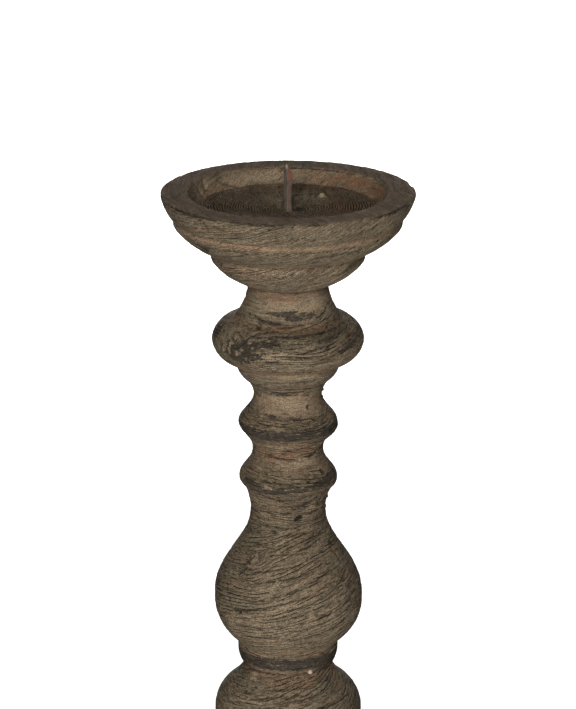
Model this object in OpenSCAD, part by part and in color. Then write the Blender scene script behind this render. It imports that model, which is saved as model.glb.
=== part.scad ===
// Turned wooden pricket candlestick: a dish with an iron spike on a tall double-baluster stem.
// Every block is turned on the lathe by itself, and glued dowels hold the blocks in one column.
// Z points up and the column's axis is the Z axis. Z = 0 is the table under the felt pads.

/* [Dish and foot] */
// Diameter of the dish over its rim
dish_d = 128; // [110:1:170]
// Height of the dish block
dish_h = 47; // [40:1:60]
// Diameter of the foot where it meets the table
foot_d = 150; // [124:1:190]
// Height of the foot block
foot_h = 46; // [40:1:60]
// Height of the flared band around the rim, on dish and foot alike
rim_band_h = 13.5; // [8:0.5:16]
// How far the flared band leans in below the rim
rim_band_lean = 6.5; // [3:0.5:9]
// Height of the rounded step under the band
step_h = 15.5; // [10:0.5:19]
// Diameter of the small bowl under the step
bowl_d = 78; // [64:1:90]
// Height of the small bowl's upright wall
bowl_wall_h = 5.5; // [2:0.5:8]
// Diameter of the joint between the bowl and the knop's neck
neck_d = 40; // [34:1:56]
// Depth of the turned groove between band and step
groove_depth = 0.8; // [0.4:0.1:1.5]

/* [Candle seat] */
// Width of the flat rim around the recess
rim_flat_w = 14.5; // [8:0.5:20]
// Depth of the flat candle seat below the rim
seat_depth = 7.5; // [4:0.5:9]
// How far the recess wall slopes in from the rim to the seat
seat_wall_run = 5.5; // [2:0.5:8]
// Diameter of the shallow hollow in the middle of the seat
hollow_d = 48; // [24:1:60]
// Depth of that hollow below the seat
hollow_depth = 2; // [0.5:0.5:4]

/* [Spike] */
// Side of the square iron spike
spike_side = 3.3; // [2.5:0.1:5]
// Height of the spike's tip above the candle seat
spike_rise = 22; // [14:1:32]
// Length of the four-sided point
spike_point_len = 5; // [3:0.5:12]
// How far the point's tip sits off the spike's axis
spike_tip_shift = 1; // [0:0.1:1.2]
// Turn of the square spike about its own axis
spike_turn = 35; // [0:5:90]
// Diameter of the nail head under the dish
spike_head_d = 10; // [8:0.5:14]
// Thickness of the nail head
spike_head_t = 2; // [1:0.5:3]

/* [Knop] */
// Height of a knop block
knop_h = 50; // [44:1:60]
// Diameter of the thick round knop
knop_d = 77; // [66:1:95]
// Thickness of the knop along the stem
knop_t = 23; // [18:0.5:28]
// Height of the knop's middle above the ring side of its block
knop_level = 21; // [18:1:26]

/* [Ring stem] */
// Height of a ring block
rings_h = 72; // [66:1:90]
// Diameter of the joint between knop block and ring block
ring_joint_d = 42; // [38:1:48]
// Diameter of the ring nearer the knop
ring_a_d = 50.5; // [46:0.5:64]
// Distance of that ring's edge from the knop joint
ring_a_from_top = 22.5; // [18:0.5:26]
// Diameter of the ring nearer the baluster
ring_b_d = 50; // [46:0.5:64]
// Height of that ring's edge above the baluster joint
ring_b_level = 21; // [18:0.5:26]
// Diameter of the waist between knop and ring
waist_a_d = 34.5; // [30:0.5:40]
// Distance of that waist from the knop joint
waist_a_from_top = 7; // [4:0.5:10]
// Diameter of the waist between the two rings
waist_b_d = 36; // [30:0.5:42]
// Diameter of the ledge under the ring nearer the baluster
ledge_d = 44; // [42:0.5:45.5]
// Distance from that ring's edge to the ledge
ledge_drop = 5; // [3:0.5:7]
// Diameter of the waist at the baluster's neck
waist_c_d = 38; // [32:0.5:41]
// Height of that waist above the baluster joint
waist_c_level = 4.5; // [2:0.5:8]

/* [Balusters] */
// Height of a baluster block
baluster_h = 68; // [56:1:90]
// Largest diameter of a baluster
baluster_d = 75; // [62:1:95]
// Distance of the largest diameter from the collar
baluster_level = 24; // [20:1:30]
// Height of the upright belly at the largest diameter
baluster_belly_h = 3; // [1:0.5:6]
// Diameter of the joint between baluster and ring block
baluster_neck_d = 39; // [34:1:46]
// Height of the hollow curve where a baluster runs into the collar
baluster_cove_h = 4; // [2:0.5:6]

/* [Collar] */
// Height of the collar between the balusters
collar_h = 12; // [8:1:20]
// Diameter of the collar's upper band
collar_d = 51; // [47:1:60]
// Diameter of the collar's narrow lower end
collar_foot_d = 45; // [40:1:46]
// Height of the collar's upright upper band
collar_band_h = 4; // [2:0.5:7]

/* [Joinery] */
// Diameter of the wooden dowels
dowel_d = 16; // [10:1:20]
// Depth of every dowel bore in its block
dowel_depth = 20; // [14:1:21]
// Glue gap between a dowel and its bore, at the side
glue_gap = 0.1; // [0.05:0.05:0.3]
// Gap between a dowel's end and the bottom of its bore
end_gap = 1; // [0.5:0.5:2]
// Chamfer on each dowel's ends
dowel_chamfer = 1; // [0.5:0.5:2]

/* [Felt pads] */
// Diameter of a felt pad
pad_d = 24; // [14:1:30]
// Thickness of a felt pad
pad_t = 2; // [1:0.5:4]
// Diameter of the circle that the pads' centres lie on
pad_circle_d = 108; // [60:1:110]

/* [Hidden] */
$fn = 96;
// Height of each joint face above the table, from the bottom up
z_foot = pad_t;
z_lower_knop = z_foot + foot_h;
z_lower_rings = z_lower_knop + knop_h;
z_lower_baluster = z_lower_rings + rings_h;
z_collar = z_lower_baluster + baluster_h;
z_upper_baluster = z_collar + collar_h;
z_upper_rings = z_upper_baluster + baluster_h;
z_upper_knop = z_upper_rings + rings_h;
z_dish = z_upper_knop + knop_h;
z_rim = z_dish + dish_h;
z_seat = z_rim - seat_depth;

// Hole sizes that follow what goes into them
bore_d = dowel_d + 2 * glue_gap;
spike_hole = spike_side + 2 * glue_gap;
head_hole_d = spike_head_d + 2 * glue_gap;
// Edge softening of the rim, and how far a quarter circle swells past its chord, as a share of its radius
rim_round = 1;
quarter_swell = 0.29;
// The turned groove's width, and how far its upper lip stands out from the step below
groove_w = 1.2;
groove_lip = 0.4;
// Height of the step's upright edge below the groove, and width of the ledge around the small bowl
step_edge_h = 3;
ledge_w = 1.5;
// How far the small bowl's wall leans in and out of its radius, and the height that its edge is rounded over
bowl_wall_lean = 0.5;
bowl_round_h = 2;
// How far each curved face swells out past a straight line between its ends. Below 0 it dips in
bowl_sag = 1.8;
step_sag = 1.4;
band_sag = 0.9;
seat_wall_sag = -0.9;
knop_under_sag = 1.2;
knop_over_sag = -1.2;
neck_sag = -0.1;
cove_sag = -0.5;
collar_sag = 0.5;
// The knop's roll: how far each half swells, as a share of its half thickness, and the edge under it
knop_swell = 0.25;
knop_edge = 0.6;
// How far the seat's hollow is rounded, as a share of its depth
hollow_swell = 0.25;
// How full the hollow curves are at the ledge and at the knop joint, as a share of a full upright curve
ledge_curve = 0.5;
joint_curve = 0.6;
// How long the S-curves keep close to a waist, and to a baluster's neck
ring_skew = 1.2;
baluster_skew = 0.86;
// The baluster's cove: its width as a share of its height, and how much taller it is on the lower baluster
cove_slope = 0.8;
lower_cove_more = 3;
// How far cutting shapes reach past the faces that they open
cut = 1;

wood = "#5f5346";
dark_wood = "#4b4138";
pale_wood = "#b39a78";
iron = "#6a4538";
felt = "#33302c";

// Outlines are lists of [radius, height], from the bottom of a block to its top.

// A circular arc from a to b that swells by sag away from the axis, or dips when sag is negative.
// It leaves out a, so that pieces of an outline can follow one another.
function arc(a, b, sag, n = 10) =
    let (way = b - a, len = norm(way), along = way / len, out = [along[1], -along[0]])
    let (s = sign(sag), r = (len * len / 4 + sag * sag) / (2 * abs(sag)))
    let (centre = (a + b) / 2 + out * (sag - s * r), half = asin(len / 2 / r))
    [for (i = [1:n]) let (t = half * (2 * i / n - 1)) centre + r * (s * cos(t) * out + sin(t) * along)];

// The sag of an arc between a and b that is upright at one of its ends.
function upright_sag(a, b) =
    norm(b - a) / 2 * tan(atan(abs((b[0] - a[0]) / (b[1] - a[1]))) / 2);

// An S-curve between a waist and a ring, upright at both. A skew over 1 keeps it close to the waist longer.
function rise(t, skew) = (1 - cos(180 * pow(t, skew))) / 2;
function flank(a, b, skew = ring_skew, n = 12) = [
    for (i = [1:n])
        let (t = i / n, grown = a[0] < b[0] ? rise(t, skew) : 1 - rise(1 - t, skew))
        [a[0] + (b[0] - a[0]) * grown, a[1] + (b[1] - a[1]) * t]
];

// The outside that dish and foot share: small bowl, rounded step and flared band up to the rim.
function stepped_bowl(rim_d, h) =
    let (band_z = h - rim_band_h, step_z = band_z - step_h, wall_z = step_z - bowl_wall_h)
    let (rim_r = rim_d / 2, step_r = rim_r - rim_band_lean, bowl_r = bowl_d / 2)
    concat(
        [[neck_d / 2, 0]],
        arc([neck_d / 2, 0], [bowl_r - bowl_wall_lean, wall_z], bowl_sag),
        [[bowl_r, wall_z + bowl_round_h], [bowl_r + bowl_wall_lean, step_z], [bowl_r + ledge_w, step_z]],
        arc([bowl_r + ledge_w, step_z], [step_r, band_z - step_edge_h], step_sag),
        [[step_r, band_z - groove_w / 2], [step_r - groove_depth, band_z]],
        [[step_r + groove_lip, band_z + groove_w / 2]],
        arc([step_r + groove_lip, band_z + groove_w / 2], [rim_r, h - rim_round], band_sag),
        arc([rim_r, h - rim_round], [rim_r - rim_round, h], rim_round * quarter_swell, 5)
    );

module turned(outline) {
    rotate_extrude()
        polygon(outline);
}

// A blind bore into the block's face at height z, going down, or up when the block lies above it.
module dowel_bore(z, up = false) {
    translate([0, 0, up ? z - cut : z - dowel_depth])
        cylinder(d = bore_d, h = dowel_depth + cut);
}

// Everything below the rim, with the candle recess turned out of the top.
module dish() {
    recess_r = dish_d / 2 - rim_flat_w;
    seat_r = recess_r - seat_wall_run;
    seat_z = dish_h - seat_depth;
    recess = concat(
        [[recess_r + rim_round, dish_h]],
        arc([recess_r + rim_round, dish_h], [recess_r, dish_h - rim_round], rim_round * quarter_swell, 5),
        arc([recess_r, dish_h - rim_round], [seat_r, seat_z], seat_wall_sag),
        [[hollow_d / 2, seat_z]],
        arc([hollow_d / 2, seat_z], [0, seat_z - hollow_depth], -hollow_depth * hollow_swell)
    );
    color(wood)
        translate([0, 0, z_dish])
            difference() {
                turned(concat([[0, 0]], stepped_bowl(dish_d, dish_h), recess));
                dowel_bore(0, up = true);
                translate([0, 0, dowel_depth - cut])
                    cylinder(d = head_hole_d, h = spike_head_t + cut);
                rotate([0, 0, spike_turn])
                    translate([-spike_hole / 2, -spike_hole / 2, dowel_depth])
                        cube([spike_hole, spike_hole, dish_h]);
            }
}

// A square nail driven up through the dish, its round head seated above the dish's dowel.
module spike() {
    head_z = z_dish + dowel_depth;
    tip_z = z_seat + spike_rise;
    color(iron)
        rotate([0, 0, spike_turn]) {
            translate([0, 0, head_z])
                cylinder(d = spike_head_d, h = spike_head_t);
            difference() {
                translate([-spike_side / 2, -spike_side / 2, head_z])
                    cube([spike_side, spike_side, tip_z - head_z]);
                for (side = [0:90:270])
                    let (reach = spike_side / 2 + spike_tip_shift * cos(side))
                    translate([-spike_tip_shift, 0, tip_z])
                        rotate([0, 0, side])
                            rotate([0, -atan(reach / spike_point_len), 0])
                                translate([0, -spike_side, -2 * spike_point_len])
                                    cube([2 * spike_side, 2 * spike_side, 3 * spike_point_len]);
            }
        }
}

// The thick round knop and the cone-shaped neck above it, from the ring joint up to the neck.
module knop_block() {
    roll_r = knop_t / 2;
    roll_x = knop_d / 2 - roll_r;
    under_z = knop_level - roll_r;
    over_z = knop_level + roll_r;
    difference() {
        turned(concat(
            [[0, 0], [ring_joint_d / 2, 0]],
            arc([ring_joint_d / 2, 0], [roll_x - knop_edge, under_z - knop_edge], knop_under_sag),
            [[roll_x, under_z]],
            arc([roll_x, under_z], [knop_d / 2, knop_level], roll_r * knop_swell, 12),
            arc([knop_d / 2, knop_level], [roll_x, over_z], roll_r * knop_swell, 12),
            arc([roll_x, over_z], [neck_d / 2, knop_h], knop_over_sag),
            [[0, knop_h]]
        ));
        dowel_bore(0, up = true);
        dowel_bore(knop_h);
    }
}

// Two rings with hollow waists around them, from the baluster joint up to the knop joint.
module rings_block() {
    neck = [baluster_neck_d / 2, 0];
    waist_c = [waist_c_d / 2, waist_c_level];
    ledge = [ledge_d / 2, ring_b_level - ledge_drop];
    ring_b = [ring_b_d / 2, ring_b_level];
    ring_a = [ring_a_d / 2, rings_h - ring_a_from_top];
    waist_b = [waist_b_d / 2, (ring_a[1] + ring_b[1]) / 2];
    waist_a = [waist_a_d / 2, rings_h - waist_a_from_top];
    top = [ring_joint_d / 2, rings_h];
    difference() {
        turned(concat(
            [[0, 0], neck],
            arc(neck, waist_c, neck_sag, 4),
            arc(waist_c, ledge, -upright_sag(waist_c, ledge) * ledge_curve),
            arc(ledge, ring_b, upright_sag(ledge, ring_b), 6),
            flank(ring_b, waist_b),
            flank(waist_b, ring_a),
            flank(ring_a, waist_a),
            arc(waist_a, top, -upright_sag(waist_a, top) * joint_curve),
            [[0, rings_h]]
        ));
        dowel_bore(0, up = true);
        dowel_bore(rings_h);
    }
}

// A vase-shaped block, standing on the collar. end_d is its diameter there.
module baluster_block(end_d, cove_h) {
    cove = [end_d / 2 + cove_h * cove_slope, cove_h];
    widest = [baluster_d / 2, baluster_level];
    belly_top = [baluster_d / 2, baluster_level + baluster_belly_h];
    difference() {
        turned(concat(
            [[0, 0], [end_d / 2, 0]],
            arc([end_d / 2, 0], cove, cove_sag, 4),
            arc(cove, widest, upright_sag(cove, widest), 16),
            [belly_top],
            flank(belly_top, [baluster_neck_d / 2, baluster_h], baluster_skew, 20),
            [[0, baluster_h]]
        ));
        dowel_bore(0, up = true);
        dowel_bore(baluster_h);
    }
}

// Places the stem's lower half, where each block stands on its head.
module upside_down(z_top) {
    translate([0, 0, z_top])
        mirror([0, 0, 1])
            children();
}

module upper_knop() {
    color(wood)
        translate([0, 0, z_upper_knop])
            knop_block();
}

module upper_rings() {
    color(dark_wood)
        translate([0, 0, z_upper_rings])
            rings_block();
}

module upper_baluster() {
    color(wood)
        translate([0, 0, z_upper_baluster])
            baluster_block(collar_d, baluster_cove_h);
}

module collar() {
    band_z = collar_h - collar_band_h;
    color(dark_wood)
        translate([0, 0, z_collar])
            difference() {
                turned(concat(
                    [[0, 0], [collar_foot_d / 2, 0]],
                    arc([collar_foot_d / 2, 0], [collar_d / 2, band_z], collar_sag, 6),
                    [[collar_d / 2, collar_h], [0, collar_h]]
                ));
                translate([0, 0, -cut])
                    cylinder(d = bore_d, h = collar_h + 2 * cut);
            }
}

module lower_baluster() {
    color(wood)
        upside_down(z_collar)
            baluster_block(collar_foot_d, baluster_cove_h + lower_cove_more);
}

module lower_rings() {
    color(dark_wood)
        upside_down(z_lower_baluster)
            rings_block();
}

module lower_knop() {
    color(wood)
        upside_down(z_lower_rings)
            knop_block();
}

// The dish's outside turned over, solid and wider, with a flat underside for the pads.
module foot() {
    color(wood)
        upside_down(z_lower_knop)
            difference() {
                turned(concat([[0, 0]], stepped_bowl(foot_d, foot_h), [[0, foot_h]]));
                dowel_bore(0, up = true);
            }
}

// A dowel across the joint at height z. Where it runs through a whole block, between is its height.
module dowel(z, between = 0) {
    half = between / 2 + dowel_depth - end_gap;
    color(pale_wood)
        translate([0, 0, z + between / 2])
            turned([
                [0, -half],
                [dowel_d / 2 - dowel_chamfer, -half],
                [dowel_d / 2, dowel_chamfer - half],
                [dowel_d / 2, half - dowel_chamfer],
                [dowel_d / 2 - dowel_chamfer, half],
                [0, half]
            ]);
}

module dish_dowel() { dowel(z_dish); }
module upper_knop_dowel() { dowel(z_upper_knop); }
module upper_rings_dowel() { dowel(z_upper_rings); }
module collar_dowel() { dowel(z_collar, collar_h); }
module lower_rings_dowel() { dowel(z_lower_baluster); }
module lower_knop_dowel() { dowel(z_lower_rings); }
module foot_dowel() { dowel(z_lower_knop); }

// One of four felt pads, glued under the foot at equal angles.
module felt_pad(i) {
    color(felt)
        rotate([0, 0, 45 + 90 * i])
            translate([pad_circle_d / 2, 0, 0])
                cylinder(d = pad_d, h = pad_t);
}

dish();
spike();
upper_knop();
upper_rings();
upper_baluster();
collar();
lower_baluster();
lower_rings();
lower_knop();
foot();
dish_dowel();
upper_knop_dowel();
upper_rings_dowel();
collar_dowel();
lower_rings_dowel();
lower_knop_dowel();
foot_dowel();
felt_pad(0);  // felt_pad_1
felt_pad(1);  // felt_pad_2
felt_pad(2);  // felt_pad_3
felt_pad(3);  // felt_pad_4
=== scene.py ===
"""The looks of a turned, weathered pricket candlestick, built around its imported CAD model.

Each wooden block is a dense lathe mesh that follows the CAD block's own outline. Growth rings,
brushed grain, gouges and chips are cut into the mesh, and the same fields, kept as attributes,
drive the wood's colour, roughness and fine bump. Lengths inside the mesh code are millimetres.
"""

import math

import bpy
import numpy as np
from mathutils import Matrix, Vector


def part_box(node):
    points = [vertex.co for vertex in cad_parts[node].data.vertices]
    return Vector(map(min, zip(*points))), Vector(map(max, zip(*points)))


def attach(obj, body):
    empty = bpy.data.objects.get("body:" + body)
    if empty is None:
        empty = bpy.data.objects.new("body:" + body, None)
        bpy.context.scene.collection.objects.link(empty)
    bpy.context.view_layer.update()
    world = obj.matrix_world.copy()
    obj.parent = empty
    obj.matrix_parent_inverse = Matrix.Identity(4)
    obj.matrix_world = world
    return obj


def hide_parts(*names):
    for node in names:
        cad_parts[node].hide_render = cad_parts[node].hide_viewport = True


MM = 0.001
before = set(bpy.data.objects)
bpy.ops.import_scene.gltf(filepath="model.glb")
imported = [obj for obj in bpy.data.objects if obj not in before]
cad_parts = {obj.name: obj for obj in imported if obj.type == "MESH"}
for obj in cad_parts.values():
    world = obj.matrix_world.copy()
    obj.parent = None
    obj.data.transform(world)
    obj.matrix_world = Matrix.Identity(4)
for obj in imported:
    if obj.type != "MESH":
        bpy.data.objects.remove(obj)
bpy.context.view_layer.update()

DOWELS = [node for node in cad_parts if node.endswith("_dowel")]
PADS = [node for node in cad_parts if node.startswith("felt_pad")]


def box_mm(node):
    low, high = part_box(node)
    return np.array(low) / MM, np.array(high) / MM


# ---------------------------------------------------------------- noise and easing

class Noise:
    """Smooth gradient noise in three dimensions, about -1 to 1, the same for the same seed."""

    def __init__(self, seed):
        rng = np.random.default_rng(seed)
        self.order = np.tile(rng.permutation(256), 3)
        slopes = rng.normal(size=(256, 3))
        self.slopes = slopes / np.linalg.norm(slopes, axis=1)[:, None]

    def __call__(self, x, y, z):
        p = np.stack(np.broadcast_arrays(x, y, z), -1).astype(float)
        cell = np.floor(p).astype(np.int64)
        f = p - cell
        cell &= 255
        w = f * f * f * (f * (f * 6 - 15) + 10)
        total = np.zeros(p.shape[:-1])
        for corner in np.ndindex(2, 2, 2):
            c = np.array(corner)
            at = cell + c
            hashed = self.order[self.order[self.order[at[..., 0]] + at[..., 1]] + at[..., 2]]
            slope = np.einsum("...k,...k->...", self.slopes[hashed], f - c)
            total += slope * np.prod(np.where(c == 1, w, 1 - w), axis=-1)
        return total * 1.6


def smooth(low, high, x):
    t = np.clip((x - low) / (high - low), 0, 1)
    return t * t * (3 - 2 * t)


def bell(x):
    return np.exp(-x * x)


# ---------------------------------------------------------------- outlines from the CAD solids

def cross_section(node, skip_inside=0.0):
    """The CAD node's outline as one run of [radius, height], and whether the run closes on itself.

    Every edge of a turned solid's mesh joins two points of its outline, or lies on one circle.
    Points nearer the axis than skip_inside belong to holes that aren't round, and are left out.
    """
    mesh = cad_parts[node].data
    at = np.empty(len(mesh.vertices) * 3)
    mesh.vertices.foreach_get("co", at)
    at = at.reshape(-1, 3) / MM
    pair = np.empty(len(mesh.edges) * 2, np.int64)
    mesh.edges.foreach_get("vertices", pair)
    section = np.round(np.stack([np.hypot(at[:, 0], at[:, 1]), at[:, 2]], 1), 2)
    points, index = np.unique(section, axis=0, return_inverse=True)
    links = np.unique(np.sort(index.reshape(-1)[pair.reshape(-1, 2)], axis=1), axis=0)
    kept = points[:, 0] > skip_inside
    links = links[(links[:, 0] != links[:, 1]) & kept[links].all(1)]
    near = {}
    for a, b in links.tolist():
        near.setdefault(a, []).append(b)
        near.setdefault(b, []).append(a)
    ends = [i for i in near if len(near[i]) == 1]
    start = min(ends, key=lambda i: points[i, 1]) if ends else min(near)
    walk, came = [start], None
    while True:
        onward = [i for i in near[walk[-1]] if i != came and i not in walk]
        if not onward:
            break
        came = walk[-1]
        walk.append(onward[0])
    return points[walk], not ends


def even_run(points, closed, step):
    if closed:
        points = np.vstack([points, points[:1]])
    along = np.concatenate([[0], np.cumsum(np.linalg.norm(np.diff(points, axis=0), axis=1))])
    keep = np.concatenate([[True], np.diff(along) > 1e-6])
    points, along = points[keep], along[keep]
    at = np.linspace(0, along[-1], int(along[-1] / step), endpoint=not closed)
    return np.stack([np.interp(at, along, points[:, k]) for k in (0, 1)], 1)


def blurred(values, closed, sigma, mirror=1):
    """Each column of values, worn smooth over about sigma samples."""
    values = np.asarray(values, float)
    flat = values.reshape(len(values), -1)
    reach = int(4 * sigma)
    weights = bell(np.arange(-reach, reach + 1) / sigma / math.sqrt(2))
    weights /= weights.sum()
    if closed:
        padded = np.vstack([flat[-reach:], flat, flat[:reach]])
    else:
        padded = np.vstack([flat[reach:0:-1] * mirror, flat, flat[-2:-reach - 2:-1] * mirror])
    columns = [np.convolve(padded[:, k], weights, "valid") for k in range(flat.shape[1])]
    return np.stack(columns, 1).reshape(values.shape)


class Outline:
    """A cross-section ready to be turned: rows of points, outward normals, bends and what shows.

    row is the distance between rows in mm, or a function that gives it for each point. Faces that
    hidden tells of get wide rows and no wear.
    """

    FINE = 0.1
    HIDDEN_ROW = 3.0
    WEAR = 4.5

    def __init__(self, points, closed, row, hidden):
        if not closed:
            points = np.vstack([[0, points[0][1]], points, [0, points[-1][1]]])
        x, y = points.T
        area = np.sum(x * np.roll(y, -1) - np.roll(x, -1) * y)
        if area < 0:
            points = points[::-1]
        fine = blurred(even_run(points, closed, self.FINE), closed, self.WEAR, mirror=np.array([-1, 1]))
        if not closed:
            fine[[0, -1], 0] = 0
        if closed:
            tangent = np.roll(fine, -1, 0) - np.roll(fine, 1, 0)
        else:
            tangent = np.gradient(fine, axis=0)
        tangent /= np.linalg.norm(tangent, axis=1)[:, None] + 1e-12
        normal = np.stack([tangent[:, 1], -tangent[:, 0]], 1)
        turning = np.cross(tangent, np.roll(tangent, -1, 0)) / self.FINE
        turning[[0, -1]] = 0
        shows = blurred(1.0 - hidden(fine, normal), closed, 3)
        wide = row(fine, normal) if callable(row) else np.full(len(fine), row)
        spacing = blurred(np.where(shows > 0.02, wide, self.HIDDEN_ROW), closed, 4)
        along = np.concatenate([[0], np.cumsum(self.FINE / spacing)])
        targets = np.linspace(0, along[-1], int(along[-1]), endpoint=not closed)
        pick = np.clip(np.searchsorted(along, targets), 0, len(fine) - 1)
        self.closed = closed
        self.points, self.normal = fine[pick], normal[pick]
        self.bend = blurred(turning, closed, 4)[pick]
        self.shows = shows[pick]
        self.length = pick * self.FINE


def joint_hider(block):
    """Tells which parts of a block's outline are joint faces and bores, for the dowels that cross it."""
    face_gap, bore_gap, bore_end_gap, level = 0.25, 0.6, 4, 0.7
    low, high = box_mm(block)
    joints = []
    for dowel in DOWELS:
        d_low, d_high = box_mm(dowel)
        for z in (low[2], high[2]):
            if d_low[2] < z < d_high[2]:
                joints.append((z, (d_high[0] - d_low[0]) / 2, d_low[2], d_high[2]))

    def hidden(points, normal):
        out = np.zeros(len(points))
        for z, bore_r, bore_low, bore_high in joints:
            out[(abs(points[:, 1] - z) < face_gap) & (abs(normal[:, 1]) > level)] = 1
            inside = (points[:, 1] > bore_low - bore_end_gap) & (points[:, 1] < bore_high + bore_end_gap)
            out[(points[:, 0] < bore_r + bore_gap) & inside] = 1
        return out
    return hidden


# ---------------------------------------------------------------- meshes

def mesh_object(name, points, faces, attributes=None):
    """A smooth-shaded mesh in metres from points in mm, with attributes on its points."""
    mesh = bpy.data.meshes.new(name)
    flat = np.concatenate([f.reshape(-1) for f in faces])
    sizes = np.concatenate([np.full(len(f), f.shape[1]) for f in faces])
    mesh.vertices.add(len(points))
    mesh.vertices.foreach_set("co", (points * MM).astype(np.float32).reshape(-1))
    mesh.loops.add(len(flat))
    mesh.loops.foreach_set("vertex_index", flat.astype(np.int32))
    mesh.polygons.add(len(sizes))
    starts = np.concatenate([[0], np.cumsum(sizes)[:-1]])
    mesh.polygons.foreach_set("loop_start", starts.astype(np.int32))
    mesh.polygons.foreach_set("use_smooth", np.ones(len(sizes), bool))
    mesh.update(calc_edges=True)
    kinds = {1: ("FLOAT", "value"), 3: ("FLOAT_VECTOR", "vector"), 4: ("FLOAT_COLOR", "color")}
    for key, values in (attributes or {}).items():
        values = np.asarray(values, np.float32).reshape(len(points), -1)
        kind, field = kinds[values.shape[1]]
        mesh.attributes.new(key, kind, "POINT").data.foreach_set(field, values.reshape(-1))
    obj = bpy.data.objects.new(name, mesh)
    bpy.context.scene.collection.objects.link(obj)
    return obj


def wall_faces(rows, columns, closed=False):
    """The faces between rows of points, from the bottom up, each row a ring of columns points."""
    i = np.arange(rows if closed else rows - 1)[:, None]
    j = np.arange(columns)[None, :]
    k = (j + 1) % columns
    up = (i + 1) % rows
    quads = [i * columns + j, i * columns + k, up * columns + k, up * columns + j]
    return [np.stack(quads, -1).reshape(-1, 4)]


def cap_faces(rows, columns):
    """Fans that close the first and last row with the two points that follow the rows."""
    j = np.arange(columns)
    k = (j + 1) % columns
    first, last, top = rows * columns, rows * columns + 1, (rows - 1) * columns
    bottom_fan = np.stack([np.full(columns, first), k, j], 1)
    top_fan = np.stack([np.full(columns, last), top + j, top + k], 1)
    return [bottom_fan, top_fan]


def turned(name, outline, columns, shape):
    """Turns an outline into a mesh. shape(points, normals, rows) gives each point's lift and tones."""
    inner = slice(None) if outline.closed else slice(1, -1)
    profile, normal = outline.points[inner], outline.normal[inner]
    angle = np.arange(columns) / columns * 2 * np.pi
    turn = np.stack([np.cos(angle), np.sin(angle)], 1)

    def around(run):
        flat = run[:, :1, None] * turn[None]
        return np.concatenate([flat, np.repeat(run[:, 1, None, None], columns, 1)], 2).reshape(-1, 3)

    base, out = around(profile), around(normal)
    rows = {"bend": outline.bend, "shows": outline.shows, "length": outline.length}
    rows = {key: np.repeat(values[inner], columns) for key, values in rows.items()}
    lift, attributes = shape(base, out, rows)
    points = base + out * lift[:, None]
    faces = wall_faces(len(profile), columns, outline.closed)
    if not outline.closed:
        faces += cap_faces(len(profile), columns)
        for key, values in attributes.items():
            values = np.asarray(values).reshape(len(points), -1)
            attributes[key] = np.vstack([values, values[:1], values[-1:]])
        tips = [[0, 0, outline.points[0, 1]], [0, 0, outline.points[-1, 1]]]
        points = np.vstack([points, tips])
    return mesh_object(name, points, faces, attributes)


# ---------------------------------------------------------------- wood

class Wood:
    """How one block's timber lies: a pith line, growth rings around it, and its own noise.

    tilt is the fibre's climb to the right as seen from the front, swing its turn about the column,
    roll leans the ring layers towards the front, and reach is how far off the pith lies. ring is a
    growth ring's width and relief how deep it is brushed out.
    """

    BENDS = ((30.0, 2.2), (6.5, 0.18))
    GROOVE_WIDTHS = (0.03, 0.15)

    def __init__(self, seed, middle, tilt=14, swing=0, roll=0, reach=95, ring=1.25, relief=0.32):
        self.noise = Noise(seed)
        self.ring, self.relief = ring, relief
        t, s, r = (math.radians(x) for x in (tilt, swing, roll))
        self.fibre = np.array([math.cos(t) * math.cos(s), math.cos(t) * math.sin(s), math.sin(t)])
        up = np.array([-math.sin(t) * math.cos(s), -math.sin(t) * math.sin(s), math.cos(t)])
        side = np.cross(self.fibre, up)
        self.up = up * math.cos(r) + side * math.sin(r)
        self.side = np.cross(self.fibre, self.up)
        self.pith = np.array([0, 0, middle]) - self.up * reach

    def lie(self, p, lift):
        """Distance along the fibre, out from the pith and around it, in mm, bent by slow noise."""
        n = self.noise
        bent = p.copy()
        for size, amount in self.BENDS:
            q = p / size
            bend = np.stack([n(*(q + k).T) for k in (0.0, 31.7, 63.1)], 1)
            bent += amount * bend
        off = bent - self.pith
        u, s = off @ self.up, off @ self.side
        out = np.hypot(u, s)
        return off @ self.fibre, out + lift, np.arctan2(s, u) * out

    def rings(self, p, normal, lift):
        """The wood's own coordinates, then ring phase, and each brushed-out ring's strength and width."""
        along, out, around = self.lie(p, lift)
        n = self.noise
        phase = out / self.ring + 0.9 * n(out / 11, along / 90, around / 90)
        phase += 0.10 * n(along / 3.5, out / 1.5, around / 3.5)
        index = np.floor(phase)
        steep = np.sqrt(np.clip(1 - (normal @ self.up) ** 2, 0, 1))
        strength = smooth(-0.75, 0.5, n(index * 7.31, along / 38, around / 38))
        strength *= smooth(-0.6, 0.15, n(along / 11, index * 3.7, around / 11))
        strength *= smooth(-0.7, -0.05, n(along / 4.5, index * 5.1, around / 4.5))
        narrow, wide = self.GROOVE_WIDTHS
        return along, out, around, phase, strength, np.clip(wide * steep, narrow, wide)


# what marks write: shares of colour and calm, then mm dug and mm the ring layers rise
LAYERS = ("dark", "pale", "red", "calm", "shade", "deep", "depth", "lift")
# how far out, as a share of its half size, a coloured mark starts to fade
EDGE_STARTS = {"dark": 0.75, "calm": 0.75, "shade": 0.1, "pale": 0.35, "red": 0.35}
ALL_ROUND = 2000
CHIP_DEPTH, WEAR_DEPTH = 0.55, 0.08


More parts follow.
